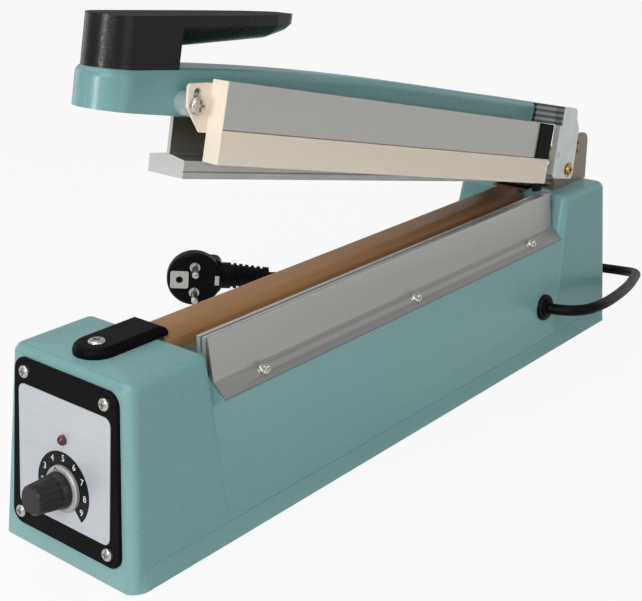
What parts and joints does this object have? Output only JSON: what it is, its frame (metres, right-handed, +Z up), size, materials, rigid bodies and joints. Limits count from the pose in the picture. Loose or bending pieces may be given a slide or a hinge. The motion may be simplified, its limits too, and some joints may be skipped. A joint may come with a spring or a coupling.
{
  "type": "impulse bag sealer with side cutter",
  "caption": "Hand operated impulse heat sealer for plastic bags, with a hinged sprung arm, a side cutter, a timer dial and a mains lead.",
  "frame": {"origin": "on the table, under the middle of the machine's length and width, the mains lead left out", "axes": "+Y runs from the front panel to the arm's hinge, +Z is up, +X is towards the side cutter"},
  "size_m": [0.2869, 0.5628, 0.2525],
  "materials": {
    "housing_paint": "fine powder coat, semi-gloss teal",
    "arm_paint": "fine powder coat, semi-gloss teal",
    "black_plastic": "fine grained black moulding",
    "handle_plastic": "smooth satin black moulding",
    "label_film": "satin silver grey film with a printed dial",
    "knob_plastic": "satin black, fluted",
    "disc_metal": "turned aluminium",
    "lamp_red": "translucent dark red",
    "steel": "bright zinc plated",
    "dark_steel": "black oxide",
    "brushed_plate": "brushed lengthwise",
    "bracket_steel": "dull plated sheet",
    "cast_aluminium": "pressure cast, satin",
    "extrusion": "mill finish extrusion",
    "guard_paint": "smooth cream coat",
    "brass": "turned brass",
    "wire_metal": "flat resistance strip",
    "strip_cloth": "woven glass strip",
    "tape_brown": "coated glass cloth, satin",
    "silicone": "red brown silicone",
    "rubber": "matt black rubber",
    "cord_pvc": "satin black sheath",
    "board": "green circuit board",
    "core_steel": "stacked sheet core",
    "coil_tape": "yellow winding tape",
    "white_plastic": "plain moulding"
  },
  "bodies": {
    "base": {"base_housing": "housing_paint", "bottom_plate": "dark_steel", "bottom_plate_screws": "steel", "rubber_feet": "rubber", "panel_bezel": "black_plastic", "panel_label": "label_film", "panel_screws": "steel", "indicator_lamp": "lamp_red", "potentiometer": "steel", "timer_board": "board", "transformer_core": "core_steel", "transformer_coil": "coil_tape", "terminal_block": "white_plastic", "internal_screws": "steel", "microswitch": "black_plastic", "seal_bar": "extrusion", "bar_screws": "steel", "insulating_strip": "strip_cloth", "heating_wire": "wire_metal", "wire_anchors": "steel", "ptfe_tape": "tape_brown", "front_clamp": "black_plastic", "front_clamp_screw": "steel", "rear_clamp": "black_plastic", "rear_clamp_screws": "brass", "side_plate": "brushed_plate", "side_plate_screws": "steel", "cutting_strips": "extrusion", "hinge_bracket": "bracket_steel", "hinge_bracket_screws": "steel", "pivot_screws": "brass", "grommet": "rubber", "cord_lead": "cord_pvc", "cord_coil": "cord_pvc", "cord_tail": "cord_pvc", "plug_body": "cord_pvc", "plug_pins": "steel", "plug_earth_parts": "steel"},
    "arm": {"arm_casting": "arm_paint", "handle": "handle_plastic", "handle_screws": "steel", "hinge_casting": "cast_aluminium", "casting_screws": "steel", "cutter_guide": "steel", "cutter_pivot": "steel", "guide_pins": "steel"},
    "press": {"press_bar": "extrusion", "silicone_strip": "silicone", "press_springs": "steel"},
    "cutter": {"guard_profile": "guard_paint", "cover_plate": "brushed_plate", "guard_end_cap": "black_plastic", "cutter_blade": "steel", "guard_brackets": "guard_paint"},
    "knob": {"timer_knob": "knob_plastic", "knob_disc": "disc_metal", "pot_shaft": "steel"},
    "lift_rod": {"lift_rod": "dark_steel", "return_spring": "steel"},
    "switch": {"switch_plunger": "black_plastic"}
  },
  "joints": [
    {"name": "arm_hinge", "type": "hinge", "parent": "base", "child": "arm", "pos_m": [0, 0.19243, 0.113], "axis": [1, 0, 0], "range_deg": [0, 12.3], "stiffness_Nm_per_rad": 5, "springref_deg": -35.52},
    {"name": "press_slide", "type": "slide", "parent": "arm", "child": "press", "axis": [0, 0.2153, 0.9766], "range_m": [0, 0.004], "stiffness_N_per_m": 3000, "springref_m": -0.004},
    {"name": "cutter_hinge", "type": "hinge", "parent": "arm", "child": "cutter", "pos_m": [0.028, 0.17825, 0.12534], "axis": [1, 0, 0], "range_deg": [0, 0.95], "stiffness_Nm_per_rad": 4, "springref_deg": -20.05},
    {"name": "knob_turn", "type": "hinge", "parent": "base", "child": "knob", "pos_m": [0.0014, -0.20993, 0.03993], "axis": [0, 0.9959, -0.0906], "range_deg": [-103, 141]},
    {"name": "lift_rod_slide", "type": "slide", "parent": "base", "child": "lift_rod", "axis": [0, 0, -1], "range_m": [0, 0.0033], "deforming": ["return_spring"]},
    {"name": "switch_slide", "type": "slide", "parent": "base", "child": "switch", "axis": [0, 0, -1], "range_m": [0, 0.00085]}
  ],
  "couplings": [
    {"joint": "lift_rod_slide", "follows": "arm_hinge", "m_per_rad": 0.015},
    {"joint": "switch_slide", "follows": "arm_hinge", "m_per_rad": 0.0037}
  ]
}
